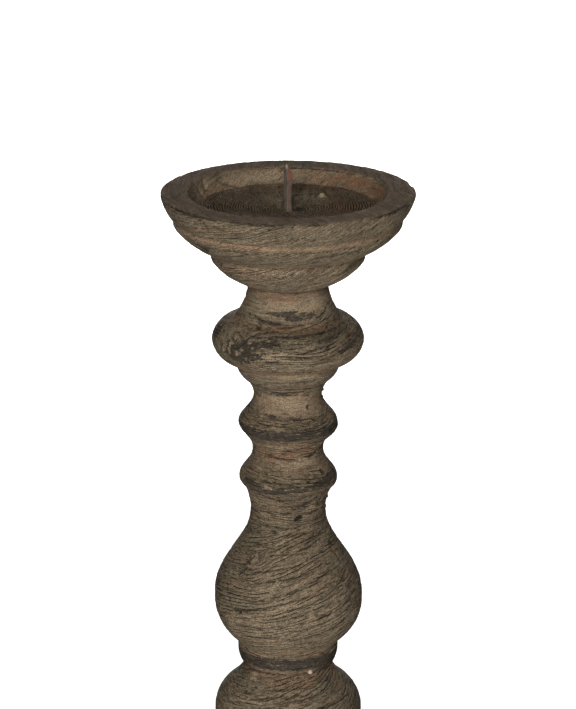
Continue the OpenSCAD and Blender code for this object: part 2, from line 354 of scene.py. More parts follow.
def marks_on(marks, azimuth, radius, rows, outline, noise):
    """What the marks add at each point.

    A mark is (kind, azimuth, place, width, tall, amount, slant): degrees from the front and to the
    right, height or (radius, height) in mm, size in mm, then mm deep or a share. The slant, in
    degrees, is left out where it is 0.
    """
    total = {layer: np.zeros(len(azimuth)) for layer in LAYERS}

    def paint(layer, values):
        total[layer][near] = np.maximum(total[layer][near], values)

    outer = np.where(outline.normal[:, 0] > -0.2, 0, 1e3)
    for kind, az, height, width, tall, amount, *slant in marks:
        if isinstance(height, tuple):
            row = np.argmin(np.hypot(*(outline.points - height).T))
            height = height[1]
        else:
            row = np.argmin(abs(outline.points[:, 1] - height) + outer)
        a = np.radians((azimuth - az + 180) % 360 - 180) * radius
        b = rows["length"] - outline.length[row]
        slant = math.radians(slant[0] if slant else 0)
        c, s = math.cos(slant), math.sin(slant)
        a, b = a * c + b * s, b * c - a * s
        near = (abs(a) < 1.6 * width) & (abs(b) < 1.6 * tall + 2)
        if not near.any():
            continue
        a, b = a[near], b[near]
        rough = noise(a / 3.1 + az, b / 1.7 + height, amount) + 0.6 * noise(a / 1.1, b / 0.8 + az, height)
        far = np.hypot(a / width, b / tall) * 2
        if kind == "crack":
            b = b + 0.5 * noise(a / 2.3 + az, height, 0.5) + 0.2 * noise(a / 0.8, height, az)
            line = bell(b / tall * 2.2) * smooth(1.0, 0.6, abs(a) / width * 2)
            line = line * smooth(-0.9, -0.2, rough)
            total["depth"][near] += amount * line
            # the crack's dark line is painted shade in it
            share = min(0.3 + 0.5 * amount, 0.9)
            paint("dark", share * line)
            paint("deep", 0.7 * share * line)
        elif kind == "gouge":
            line = bell(b / tall * 1.5) * smooth(1.0, 0.5, abs(a) / width * 2)
            total["depth"][near] += amount * line
            # painted shadow in the gouge
            paint("dark", 0.3 * line)
        elif kind == "hole":
            inside = smooth(1.15, 0.55, far + 0.12 * rough)
            total["depth"][near] += amount * inside
            # painted shade in the hole
            paint("deep", smooth(0.3, 0.9, inside))
        elif kind == "dent":
            total["depth"][near] += amount * smooth(1.2, 0.2, far + 0.2 * rough)
        elif kind == "knot":
            total["lift"][near] += amount * bell(far)
        elif kind == "fold":
            side = smooth(-0.5, 0.5, a / 1.6) * smooth(1, 0.2, a / width)
            total["lift"][near] += amount * side * smooth(1, 0.5, abs(b) / tall * 2)
        else:
            ragged = 0.25 if width == ALL_ROUND else 0.55
            inside = amount * smooth(1.15, EDGE_STARTS[kind], far + ragged * rough)
            paint(kind, inside)
            if kind == "pale":
                total["dark"][near] *= 1 - smooth(0.2, 0.6, inside)
    return total


def wooden_block(node, columns, row, wood, marks, hole=None, extra=None, slot="stem_wood"):
    """The detailed wooden piece that stands for one CAD block.

    hole is the radius of the round way through it that stands for a square one. extra changes the
    tones of a block's special faces.
    """
    points, closed = cross_section(node, skip_inside=4.0 if hole else 0.0)
    if hole:
        top = max(points[0][1], points[-1][1]) - 0.3
        low = min(points[0][1], points[-1][1])
        bridge = np.array([[hole + 0.5, top], [hole, top - 0.6], [hole, low]])
        points = np.vstack([points, bridge if points[-1][1] > points[0][1] else bridge[::-1]])
        closed = True
    outline = Outline(points, closed, row, joint_hider(node))
    n = wood.noise

    def shape(base, out, rows):
        radius = np.hypot(base[:, 0], base[:, 1])
        azimuth = np.degrees(np.arctan2(base[:, 0], -base[:, 1]))
        mark = marks_on(marks, azimuth, radius, rows, outline, n)
        along, dist, around, phase, strength, width = wood.rings(base, out, mark["lift"])
        strength = strength * (1 - mark["calm"])
        groove = strength * bell((phase - np.floor(phase) - 0.5) / width)
        convex = smooth(0.12, 0.7, rows["bend"])
        concave = smooth(0.05, 0.5, -rows["bend"])
        chips = convex * smooth(0.12, 0.55, n(along / 8, dist / 2.2, around / 8))
        chips = chips + 0.5 * convex * smooth(0.25, 0.6, n(along / 2.5, dist / 1.2, around / 2.5 + 9))
        wobble = 0.16 * n(*(base / 17 + 5).T) + 0.07 * n(*(base / 5.5 + 9).T)
        brushed = 0.10 * n(along / 12, dist / 1.1, around / 12)
        lift = wobble + brushed - WEAR_DEPTH - wood.relief * groove - CHIP_DEPTH * chips - mark["depth"]
        tone = {
            "dark": mark["dark"], "pale": mark["pale"], "red": np.maximum(mark["red"], 0.8 * concave),
            "wear": np.clip(convex - 0.6 * chips, 0, 1), "groove": groove, "strength": strength,
            "lift": lift, "calm": mark["calm"], "phase": phase, "width": width,
        }
        if extra:
            extra(base, out, radius, n, tone)
        # the dark share holds stains and painted shadows, the pale share bleaching and painted light
        paint = np.stack([tone["dark"], tone["pale"], tone["red"], tone["wear"]], 1)
        attributes = {
            "wood": np.stack([along, dist, around], 1), "paint": np.clip(paint, 0, 1),
            "ring": np.stack([tone["phase"], tone["strength"], tone["width"]], 1),
            # finish holds calm, painted shade from the shade marks, and painted shade in holes and cracks
            "finish": np.stack([tone["calm"], mark["shade"], mark["deep"]], 1),
        }
        return tone["lift"] * rows["shows"], attributes

    piece = turned("wood_" + node, outline, columns, shape)
    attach(piece, "root")
    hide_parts(node)
    return piece


def forged_spike():
    """The hammered square nail: round head, soft-cornered bar and a point that leans to the left."""
    low, high = box_mm("spike")
    bottom, tip = low[2], high[2]
    half_side, turn, point_h, lean = 1.65, math.radians(35), 5.0, 1.0
    head_r, head_h, apex_r, columns = 5.0, 2.0, 0.12, 72
    head_edge = [(0, 1.0), (0.12, 0.3), (0.5, 0)]
    # each row is its height, its reach, 1 where it is square, and how far it leans
    rows = [(bottom + z, head_r - inset, 0, 0) for z, inset in head_edge]
    rows += [(bottom + head_h - z, head_r - inset, 0, 0) for z, inset in reversed(head_edge)]
    rows += [(bottom + head_h + 0.02, half_side, 1, 0)]
    rows += [(z, half_side, 1, 0) for z in np.arange(bottom + head_h + 0.4, tip - point_h, 0.25)]
    for h in np.arange(point_h, 0, -0.2):
        share = h / point_h
        rows.append((tip - h, apex_r + (half_side - apex_r) * share, 1, lean * (1 - share)))
    height, reach, square, leans = np.array(rows).T
    angle = np.arange(columns) / columns * 2 * np.pi
    c, s = np.cos(angle), np.sin(angle)
    soft_square = (abs(c) ** 9 + abs(s) ** 9) ** (-1 / 9)
    reach_at = reach[:, None] * np.where(square[:, None] > 0, soft_square, 1.0)
    x, y = reach_at * c - leans[:, None], reach_at * s
    points = np.stack([x * math.cos(turn) - y * math.sin(turn), x * math.sin(turn) + y * math.cos(turn),
                       np.repeat(height[:, None], columns, 1)], -1).reshape(-1, 3)
    noise = Noise(77)
    dent = 0.13 * noise(*(points / (3.2, 3.2, 4.5)).T) + 0.06 * noise(*(points / 0.9).T) - 0.05
    out = np.stack([np.cos(angle + turn), np.sin(angle + turn), 0 * angle], 1)
    thin = np.repeat(np.clip(reach / half_side, 0.15, 1), columns)
    points = points + np.tile(out, (len(rows), 1)) * (dent * thin)[:, None]
    apex = [-lean * math.cos(turn), -lean * math.sin(turn), tip]
    points = np.vstack([points, [0, 0, bottom], apex])
    faces = wall_faces(len(rows), columns) + cap_faces(len(rows), columns)
    right = np.append(np.tile(out[:, 0], len(rows)), [0, 0])
    z = points[:, 2]
    rust = 0.12 + smooth(-0.25, 0.25, right) * (0.08 + 0.62 * smooth(tip - 13, tip - 6, z))
    rust += 0.08 * smooth(tip - 16, tip - 22, z)
    bare = smooth(tip - 3.4, tip - 0.6, z - 1.2 * np.clip(right, 0, 1))
    piece = mesh_object("forged_spike", points, faces, {"rust": rust, "bare": bare})
    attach(piece, "root")
    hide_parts("spike")
    return piece


def wax_drop():
    """The small pale drop that sits on the collar's lower edge."""
    azimuth, radius, height, drop_r = math.radians(28.5), 23.6, 239.7, 1.25
    rows, columns = 24, 36
    down = np.linspace(np.pi, 0, rows + 2)[1:-1, None]
    turn = np.arange(columns)[None, :] / columns * 2 * np.pi
    ball = np.stack([np.sin(down) * np.cos(turn), np.sin(down) * np.sin(turn),
                     np.repeat(np.cos(down), columns, 1)], -1).reshape(-1, 3)
    ball = np.vstack([ball, [[0, 0, -1], [0, 0, 1]]])
    ball *= drop_r * (1 + 0.12 * Noise(5)(*(ball * 1.3).T))[:, None]
    middle = [radius * math.sin(azimuth), -radius * math.cos(azimuth), height]
    faces = wall_faces(rows, columns) + cap_faces(rows, columns)
    piece = mesh_object("wax_drop", ball + middle, faces)
    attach(piece, "root")
    return piece


# ---------------------------------------------------------------- materials

class Nodes:
    """Short ways to wire a material's nodes."""

    def __init__(self, name):
        self.material = bpy.data.materials.new(name)
        self.material.use_nodes = True
        self.tree = self.material.node_tree
        self.tree.nodes.clear()
        self.shader = self.add("ShaderNodeBsdfPrincipled")
        out = self.add("ShaderNodeOutputMaterial")
        self.tree.links.new(self.shader.outputs[0], out.inputs[0])

    def add(self, kind, inputs=None, **settings):
        node = self.tree.nodes.new(kind)
        for key, value in settings.items():
            setattr(node, key, value)
        for key, value in (inputs or {}).items():
            if isinstance(value, bpy.types.NodeSocket):
                self.tree.links.new(value, node.inputs[key])
            else:
                node.inputs[key].default_value = value
        return node

    def attribute(self, name, output="Vector"):
        node = self.add("ShaderNodeAttribute", attribute_name=name, attribute_type="GEOMETRY")
        return node.outputs[output]

    def place(self):
        return self.add("ShaderNodeTexCoord").outputs["Object"]

    def split(self, vector):
        return self.add("ShaderNodeSeparateXYZ", {"Vector": vector}).outputs

    def stretched(self, vector, scale, shift=(0, 0, 0)):
        node = self.add("ShaderNodeMapping", {"Vector": vector, "Scale": scale, "Location": shift})
        return node.outputs[0]

    def noise(self, vector, scale=1.0, detail=3.0, rough=0.55, distortion=0.0):
        values = {"Vector": vector, "Scale": scale, "Detail": detail, "Roughness": rough,
                  "Distortion": distortion}
        return self.add("ShaderNodeTexNoise", values).outputs[0]

    def math(self, operation, a, b=0.0):
        return self.add("ShaderNodeMath", {0: a, 1: b}, operation=operation).outputs[0]

    def plus(self, a, b):
        return self.math("ADD", a, b)

    def minus(self, a, b):
        return self.math("SUBTRACT", a, b)

    def times(self, a, b):
        return self.math("MULTIPLY", a, b)

    def ramp(self, value, low, high, to_low=0.0, to_high=1.0):
        values = {"Value": value, "From Min": low, "From Max": high, "To Min": to_low, "To Max": to_high}
        node = self.add("ShaderNodeMapRange", values, interpolation_type="SMOOTHSTEP")
        return node.outputs[0]

    def mix(self, share, a, b, blend="MIX"):
        node = self.add("ShaderNodeMix", data_type="RGBA", blend_type=blend)
        for index, value in ((0, share), (6, a), (7, b)):
            if isinstance(value, bpy.types.NodeSocket):
                self.tree.links.new(value, node.inputs[index])
            else:
                node.inputs[index].default_value = value
        return node.outputs[2]

    def colours(self, value, *stops):
        node = self.add("ShaderNodeValToRGB", {"Fac": value})
        ramp = node.color_ramp
        while len(ramp.elements) < len(stops):
            ramp.elements.new(0.5)
        for element, (place, colour) in zip(ramp.elements, stops):
            element.position = place
            element.color = colour
        return node.outputs[0]

    def grey(self, value):
        return self.add("ShaderNodeCombineColor", {0: value, 1: value, 2: value}).outputs[0]

    def bump(self, height, distance):
        values = {"Height": height, "Distance": distance, "Strength": 1.0}
        return self.add("ShaderNodeBump", values).outputs[0]

    def finish(self, **inputs):
        for key, value in inputs.items():
            socket = self.shader.inputs[key.replace("_", " ")]
            if isinstance(value, bpy.types.NodeSocket):
                self.tree.links.new(value, socket)
            else:
                socket.default_value = value
        return self.material


def srgb(red, green, blue):
    """A colour given as screen values from 0 to 255."""
    linear = [v / 12.92 if v <= 0.04045 else ((v + 0.055) / 1.055) ** 2.4
              for v in (red / 255, green / 255, blue / 255)]
    return (*linear, 1.0)


GREYED = srgb(92, 84, 70)
ROSY = srgb(134, 106, 84)
REDDISH = srgb(136, 101, 77)
# pale marks: bleaching, and painted light on the fronts
BLEACHED_AND_PAINTED_LIGHT = srgb(160, 140, 114)
RUBBED = srgb(148, 129, 106)
# painted highlight for the edges of the grooves
RIDGE_HIGHLIGHT = srgb(156, 139, 114)
# dark marks: soil and stains, and painted shadows where a mark stands for one
SOIL_AND_SHADOW = srgb(74, 64, 52)
STAIN_AND_SHADOW = srgb(65, 60, 54)
PORE = srgb(62, 56, 46)
HAIRLINE = srgb(46, 42, 35)
# dark wax and painted shadow for the grooves
GROOVE_WAX_AND_SHADOW = srgb(42, 39, 33)
# painted shade for holes and cracks
SHADE_IN_HOLLOWS = srgb(40, 36, 31)
SHADED = (0.5, 0.46, 0.4, 1.0)
BLACK, WHITE = (0, 0, 0, 1), (1, 1, 1, 1)


def weathered_wood(name, dark, middle, pale, blotch=0.3, grit=0.4):
    """Greyed and brushed timber with stains, painted shadows and painted highlights, that follows each
    piece's own grain attributes.
    """
    m = Nodes(name)
    grain = m.attribute("wood")
    # finish: calm, painted shade, and painted shade in holes and cracks
    calmed, shade, deep = m.split(m.attribute("finish"))
    phase, strength, width = m.split(m.attribute("ring"))
    paint = m.add("ShaderNodeSeparateColor", {"Color": m.attribute("paint", "Color")})
    painted, bleached_and_painted_light, red = list(paint.outputs)[:3]
    wear = m.attribute("paint", "Alpha")
    place = m.place()

    def fibres(along, across, shift=(0, 0, 0), detail=3, rough=0.55):
        stretched = m.stretched(grain, (along, across, along), shift)
        return m.noise(stretched, detail=detail, rough=rough)

    broad = fibres(0.02, 0.12)
    streak = fibres(0.06, 0.8, (3, 7, 1), detail=5, rough=0.62)
    fine = fibres(0.28, 1.9, (9, 2, 5), detail=4, rough=0.68)
    speck = m.noise(place, scale=1900, detail=3, rough=0.75)
    cloud = m.noise(place, scale=60, detail=4, rough=0.6)
    calm = m.minus(1.0, m.times(calmed, 0.8))

    # brushed-out rings, cut where the mesh has its grooves, with a painted highlight along each groove's
    # edge
    wander = fibres(0.5, 1.0, detail=2)
    moved = m.plus(phase, m.times(m.minus(wander, 0.5), 0.35))
    off = m.math("ABSOLUTE", m.minus(m.math("FRACT", moved), 0.5))
    off = m.math("DIVIDE", off, width)
    ragged = m.plus(strength, m.times(m.minus(speck, 0.5), 0.7))
    cut = m.times(m.ramp(off, 0.35, 1.15, 1.0, 0.0), m.ramp(ragged, 0.22, 0.62))
    ridge_highlight = m.times(m.ramp(m.math("ABSOLUTE", m.minus(off, 1.6)), 0.0, 0.6, 1.0, 0.0),
                   m.ramp(ragged, 0.25, 0.7))

    # hairlines between them
    line_field = fibres(0.05, 0.95, (5, 1, 8), rough=0.5)
    off_line = m.math("ABSOLUTE", m.minus(line_field, 0.5))
    gaps = fibres(0.3, 1.1, (2, 4, 6), rough=0.6)
    line = m.times(m.ramp(off_line, 0.008, 0.03, 1.0, 0.0), m.ramp(gaps, 0.48, 0.56))
    line = m.times(line, calm)
    pore_field = fibres(0.55, 2.2, (1, 9, 4), detail=2, rough=0.6)
    pores = m.times(m.ramp(pore_field, 0.54, 0.62), calm)

    # colour: grey and brown fibres first, then paint, worn edges, stains and what is cut in; the pale
    # paint holds painted light, the ridges a painted highlight, and the stains, grooves and hollows
    # painted shadow
    mixed = m.plus(m.times(streak, 0.4), m.times(fine, 0.4))
    mixed = m.plus(mixed, m.times(cloud, 0.2))
    colour = m.colours(mixed, (0.38, dark), (0.48, middle), (0.6, pale))
    mottle = m.plus(m.times(fine, 0.5), m.times(speck, 0.35))
    edge_break = m.plus(painted, m.minus(mottle, 0.425))
    islands = m.noise(place, scale=520, detail=3, rough=0.65, distortion=0.8)
    stain_and_shadow = m.times(m.ramp(edge_break, 0.4, 0.58), m.ramp(islands, 0.5, 0.58, 1.0, 0.2))
    layers = [
        (m.ramp(broad, 0.42, 0.66, 0.0, blotch), GREYED),
        (m.times(m.ramp(fibres(0.05, 0.3, (6, 6, 2)), 0.5, 0.66), 0.35), ROSY),
        (m.times(red, m.ramp(streak, 0.35, 0.6, 0.35, 1.0)), REDDISH),
        # pale marks: bleaching, and painted light where a pale patch lies over a block's front
        (m.times(bleached_and_painted_light, m.ramp(fine, 0.3, 0.6, 0.4, 1.0)), BLEACHED_AND_PAINTED_LIGHT),
        (m.times(wear, m.ramp(streak, 0.4, 0.62, 0.0, 0.55)), RUBBED),
        # painted highlight along the edges of the grooves
        (m.times(ridge_highlight, 0.55), RIDGE_HIGHLIGHT),
        # soil, stains and painted shadows from the dark marks
        (m.times(painted, 0.7), SOIL_AND_SHADOW),
        (m.times(stain_and_shadow, 0.88), STAIN_AND_SHADOW),
        (m.times(pores, 0.6), PORE),
        (m.times(line, 0.75), HAIRLINE),
        # dark wax in the grooves, and a painted shadow of their steps
        (m.times(cut, 0.9), GROOVE_WAX_AND_SHADOW),
        # painted shade in holes and cracks
        (m.times(deep, 0.9), SHADE_IN_HOLLOWS),
    ]
    for share, over in layers:
        colour = m.mix(share, colour, over)
    colour = m.mix(shade, colour, SHADED, "MULTIPLY")
    grains = m.ramp(speck, 0.38, 0.62, 1 - grit, 1 + 0.9 * grit)
    colour = m.mix(1.0, colour, m.grey(grains), "MULTIPLY")

    # relief and sheen
    height = m.plus(m.times(fine, 0.9), m.times(streak, 0.8))
    height = m.plus(height, m.times(speck, 0.4))
    dug = m.plus(m.times(line, 0.9), m.times(pores, 0.5))
    dug = m.plus(dug, m.times(cut, 1.2))
    height = m.minus(height, dug)
    rough = m.plus(m.ramp(streak, 0.3, 0.7, 0.88, 0.74), m.times(speck, 0.1))
    rough = m.minus(rough, m.times(stain_and_shadow, 0.16))
    return m.finish(Base_Color=colour, Roughness=rough, Normal=m.bump(height, 0.00035),
                    Specular_IOR_Level=0.07)


def forged_iron():
    """Old forged iron: blue-grey scale with brown and orange rust over it."""
    m = Nodes("forged_iron")
    place = m.place()
    tall = m.stretched(place, (1, 1, 0.35))
    patches = m.noise(tall, scale=420, detail=5, rough=0.65)
    pits = m.noise(place, scale=2400, detail=3, rough=0.6)
    rusty = m.plus(m.times(m.attribute("rust", "Fac"), 0.4), m.times(patches, 0.9))
    colour = m.colours(rusty, (0.44, srgb(72, 70, 61)), (0.56, srgb(100, 91, 77)),
                       (0.68, srgb(112, 74, 60)), (0.84, srgb(138, 88, 70)))
    tip = m.attribute("bare", "Fac")
    colour = m.mix(tip, colour, srgb(176, 150, 138))
    grit = m.ramp(pits, 0.3, 0.7, 0.7, 1.25)
    colour = m.mix(1.0, colour, m.grey(grit), "MULTIPLY")
    metal = m.ramp(rusty, 0.6, 0.42, 0.0, 0.4)
    rough = m.ramp(rusty, 0.45, 0.65, 0.6, 0.86)
    height = m.plus(m.times(patches, 0.7), m.times(pits, 0.5))
    return m.finish(Base_Color=colour, Metallic=metal, Roughness=rough, Normal=m.bump(height, 0.00025))


def beech():
    """Pale dowel beech with short ray flecks and dried glue."""
    m = Nodes("dowel_beech")
    place = m.place()
    fibre = m.stretched(place, (1500, 1500, 60))
    streak = m.noise(fibre, detail=4)
    fleck = m.ramp(m.noise(m.stretched(place, (2600, 900, 320)), detail=1), 0.62, 0.7)
    glue = m.ramp(m.noise(place, scale=160, detail=3), 0.52, 0.62)
    stops = (0.3, srgb(160, 124, 88)), (0.55, srgb(188, 152, 112)), (0.75, srgb(204, 172, 134))
    colour = m.colours(streak, *stops)
    colour = m.mix(m.times(fleck, 0.5), colour, srgb(128, 90, 60))
    colour = m.mix(m.times(glue, 0.4), colour, srgb(214, 196, 150))
    rough = m.ramp(glue, 0.0, 1.0, 0.7, 0.4)
    return m.finish(Base_Color=colour, Roughness=rough, Normal=m.bump(streak, 0.0001))


def felt():
    """Dark pressed wool felt."""
    m = Nodes("felt")
    place = m.place()
    fuzz = m.noise(place, scale=3800, detail=4, rough=0.7, distortion=1.2)
    matted = m.noise(place, scale=300, detail=3)
    colour = m.colours(fuzz, (0.3, srgb(28, 27, 26)), (0.55, srgb(52, 50, 47)), (0.75, srgb(92, 88, 82)))
    colour = m.mix(m.ramp(matted, 0.4, 0.7, 0.0, 0.4), colour, srgb(66, 60, 52))
    rough = m.ramp(fuzz, 0.3, 0.7, 0.92, 1.0)
    return m.finish(Base_Color=colour, Roughness=rough, Normal=m.bump(fuzz, 0.0003), Sheen_Weight=0.4)


def wax():
    """Old candle wax, dusty in its hollows."""
    m = Nodes("wax")
    place = m.place()
    dust = m.noise(place, scale=1500, detail=3, rough=0.6)
    colour = m.colours(dust, (0.35, srgb(168, 144, 122)), (0.6, srgb(208, 184, 158)))
    rough = m.ramp(dust, 0.35, 0.6, 0.75, 0.45)
    return m.finish(Base_Color=colour, Roughness=rough, Normal=m.bump(dust, 0.0001))


# ---------------------------------------------------------------- the blocks

def finest_outside(fine, coarse):
    """Rows close together on the sides, further apart on faces that look straight up or down."""
    def row(points, normal):
        return fine + (coarse - fine) * smooth(0.75, 0.97, abs(normal[:, 1]))
    return row


def dish_extra(base, out, radius, noise, tone):
    """The recess: a tooled floor with concentric rings, and a smoother wall and rim than the outside."""
    recess_depth, floor_r, tool_step, tool_mark = 12, 45, 1.35, 0.24
    rim = box_mm("dish")[1][2]
    inside = (base[:, 2] > rim - recess_depth) * smooth(0.5, 0.85, out[:, 2])
    floor = inside * smooth(floor_r, floor_r - 1.5, radius)
    top = inside - floor
    turns = radius / tool_step + 0.35 * noise(*(base / 9).T) + 0.1 * noise(*(base / 2.5).T)
    groove = bell((turns - np.floor(turns) - 0.5) / 0.3) * smooth(-0.5, 0.4, noise(*(base / 10 + 4).T))
    tone["lift"] += top * tone["groove"] * 0.24 + floor * (tone["groove"] * 0.3 - tool_mark * groove)
    broken = smooth(-0.8, 0.1, noise(*(base / 2.2 + 7).T))
    tone["phase"] = np.where(floor > 0.5, turns, tone["phase"])
    tone["width"] = np.where(floor > 0.5, 0.24, tone["width"])
    tone["strength"] = tone["strength"] * (1 - 0.85 * inside) + 0.66 * floor * broken * (1 - tone["calm"])
    tone["calm"] = np.maximum(tone["calm"], 0.9 * top + 0.35 * floor)


def around(kind, heights, tall, amount):
    """Bands that run all the way round a block."""
    return [(kind, 0, height, ALL_ROUND, tall, amount) for height in heights]


def many(kind, *marks):
    """Marks of one kind."""
    return [(kind, *mark) for mark in marks]


def scattered(seed, node, count, clear=95, below=None):
    """Random wear, more than clear degrees from the front, or only past 75 degrees above a height."""
    rng = np.random.default_rng(seed)
    low, high = box_mm(node)
    # each kind's chance, then its least and most width, height and amount
    kinds = {
        "crack": (0.42, 9, 26, 0.7, 1.3, 0.4, 0.8), "dark": (0.18, 6, 18, 2, 6, 0.6, 1.0),
        "pale": (0.14, 5, 16, 2, 7, 0.4, 0.9), "hole": (0.12, 1.4, 3, 1.2, 2.4, 0.6, 1.3),
        "red": (0.1, 12, 34, 2, 5, 0.4, 0.9), "knot": (0.04, 14, 24, 10, 18, 4, 9),
    }
    chances = [kind[0] for kind in kinds.values()]
    found = []
    for _ in range(count):
        kind = rng.choice(list(kinds), p=chances)
        _, w0, w1, t0, t1, a0, a1 = kinds[kind]
        az = rng.uniform(clear, 360 - clear)
        z = rng.uniform(low[2] + 2, high[2] - 2)
        if below and z > below:
            az = rng.uniform(75, 285)
        width, tall = rng.uniform(w0, w1), rng.uniform(t0, t1)
        slant, amount = rng.uniform(-6, 22), rng.uniform(a0, a1)
        found.append((kind, az, z, width, tall, amount, slant))
    return found


# the top of the rim, the middle of the recess wall, and a small bump on its floor
RIM, WALL, NUB = (56, 487), (46.8, 483.5), (26, 479.3)
DISH_MARKS = [
    *many("hole", (2, 485.5, 2.2, 1.2, 0.7), (51, 471, 3, 2, 0.9), (46.5, 469.8, 2, 1.4, 0.7)),
    *around("red", [472.6], 3.2, 0.6), *around("red", [457.6], 2.6, 0.8),
    *around("red", [RIM], 17, 0.35),
    *many("red", (-14, 472.6, 70, 3.4, 0.85), (-28, 454, 30, 6, 0.6), (125, WALL, 90, 8, 0.9),
        (-130, (46, 481.5), 40, 4, 0.7), (75, (30, 478.6), 60, 34, 0.8), (160, (38, 479.3), 60, 12, 0.8),
        (-60, (30, 478.6), 70, 30, 0.35)),
    *around("calm", [472.6], 3.4, 0.55), ("calm", 180, WALL, ALL_ROUND, 9, 0.8),
    ("calm", 138, NUB, 6, 4.5, 1.0, 25),
    *many("dent", (85, 455, 9, 2.2, 0.7), (83, 450.4, 9, 1.8, 0.7), (86, 446.6, 8, 1.6, 0.6),
        (88, 464.5, 9, 2, 0.7), (87, 468.6, 7, 1.6, 0.6), (138, NUB, 5, 3.6, -1.7, 25),
        (30, (14, 477.8), 8, 5, 0.2)),
    *around("shade", [RIM], 22, 0.56), ("shade", 128, WALL, 90, 14, 0.4),
    ("dark", -50, 486.6, 42, 2.2, 0.95), ("dark", 56, 486.6, 34, 1.6, 0.75, 3),
    *many("crack", (-52, 485.9, 26, 1.3, 0.9, -2), (-40, 481.8, 6, 1.1, 0.9, -60),
        (-44, 479.5, 7, 0.9, 0.6, 20)),
    ("pale", -33, 483.6, 12, 2.6, 0.6, 6),
    ("dark", -16, 486.8, 32, 2.2, 0.8), ("dark", 13, 486.6, 10, 1.8, 0.8),
    ("pale", 44, 482.6, 26, 3, 0.5, 10),
    *many("crack", (30, 478, 22, 0.8, 0.45, 24), (40, 480, 24, 0.8, 0.45, 26), (18, 479, 20, 0.8, 0.4, 22),
        (52, 477, 20, 0.9, 0.5, 28), (-18, 478, 26, 0.7, 0.4, 6), (-30, 481, 20, 0.7, 0.4, -4)),
    *around("pale", [472.8], 2.6, 0.6),
    ("dark", -48, 468, 12, 5, 0.6, -10),
    *many("crack", (16, 470.6, 16, 1.1, 0.6, 2), (-4, 470.2, 10, 1.1, 0.6), (32, 471.2, 9, 1.2, 0.7, 8),
        (-26, 469.6, 14, 1.1, 0.6, -4)),
    ("pale", -38, 467, 16, 4, 0.5),
    ("dark", 24, 467.5, 26, 3.4, 0.5, 4),
    ("pale", -12, 455.5, 40, 4, 0.5),
    ("dark", 56, 454.5, 12, 5, 0.42, 25),
    *many("crack", (49, 453, 22, 1, 0.6, 30), (42, 451, 22, 0.9, 0.55, 30), (33, 450, 20, 0.8, 0.5, 26),
        (22, 452, 20, 0.8, 0.4, 18)),
    ("pale", -172, WALL, 56, 7, 0.4), ("pale", -150, WALL, 30, 5, 0.4),
    # the dark spot at azimuth 105 beside the spike's foot is a painted shadow
    ("dark", 165, (48.6, 486.4), 60, 0.9, 0.6), ("dark", 105, (5, 477.6), 7, 7, 1.0),
    # the gouges below carry a painted shadow in them
    *many("gouge", (-121, (47.5, 485), 9, 2.2, 1.3, 75), (-140, (46.5, 482.5), 16, 2, 1.0, -28),
        (-112, (46.5, 482.5), 8, 1.6, 0.8, 60)),
    ("pale", 138, NUB, 4, 3, 0.45, 25),
    *scattered(103, "dish", 60),
]
KNOP_MARKS = [
    ("shade", 15, 421, 110, 22, 0.38),
    *around("calm", [433], 17, 0.85), ("calm", -8, 397.5, 60, 9, 0.7),
    *around("red", [439.2, 422.8], 2.4, 0.7), *around("red", [402], 2, 0.6),
    ("red", -15, 436.4, 26, 3.4, 0.9, -3), ("red", 0, 402, 62, 2.6, 1.0),
    ("knot", -47, 413, 22, 17, 9),
    ("hole", -82, 416, 3, 5, 1.0),
    *many("pale", (42, 433.4, 16, 9, 1.0), (20, 432, 14, 6, 0.9), (-14, 433, 26, 7, 0.7)),
    *many("dark", (-6, 429.6, 17, 2.8, 1.0, 3), (6, 428, 9, 4, 1.0), (27, 428.4, 9, 3, 0.95, 12),
        (-20, 425.6, 20, 1.6, 0.8, -6), (-34, 414.4, 24, 8, 1.0, -6), (-44, 409.6, 17, 6, 0.95, -16)),
    *many("crack", (-36, 426.4, 24, 1.2, 0.8, -10), (48, 428.4, 15, 1.2, 0.8, 22),
        (0, 424.8, 20, 0.9, 0.4, 2)),
    *many("pale", (-38, 413.6, 3, 2.2, 1.0, 20), (-42, 411.4, 2.6, 3.2, 0.9, 40),
        (-25, 413.4, 6, 1.4, 0.9, 10)),
    *many("dark", (-77, 417, 7, 9, 0.95), (-19, 417.4, 18, 4.6, 1.0, 4), (-27, 411.4, 9, 4, 0.9, 20)),
    *many("pale", (-32, 417.2, 3, 1.3, 1.0), (-28, 415, 2.4, 1.2, 1.0), (-10, 411.6, 20, 6, 0.9, 5),
        (-16, 419.2, 3, 1.4, 0.9, 12), (-20, 415.8, 2.4, 1.3, 0.9, 12), (-51, 413.6, 2.4, 9, 0.9, 16),
        (-58, 411.6, 2.2, 10, 0.8, 24)),
    *many("dark", (34, 419, 30, 2.2, 0.5, 10), (54, 413.6, 28, 2.6, 0.5, 10), (-84, 417, 6, 8, 0.9)),
    *many("crack", (-54.5, 412, 9, 1.1, 0.8, 70), (-62, 411, 9, 1.1, 0.7, 66),
        (22, 415.2, 26, 1.1, 0.6, 10), (40, 411.4, 30, 1.1, 0.6, 12), (30, 408, 24, 1, 0.5, 8)),
    ("pale", 12, 415.8, 12, 1.6, 0.8, 12), ("pale", 30, 413.4, 20, 1.4, 0.7, 12),
    ("dark", 12, 421, 54, 2.4, 0.7, 5), ("dark", -12, 408.8, 8, 1.6, 0.8),
    ("crack", -5, 402.5, 52, 0.9, 0.5), ("crack", 5, 394.6, 40, 1, 0.6, 3),
    ("pale", 5, 398.4, 34, 3.4, 0.6),
    *scattered(111, "upper_knop", 44),
]
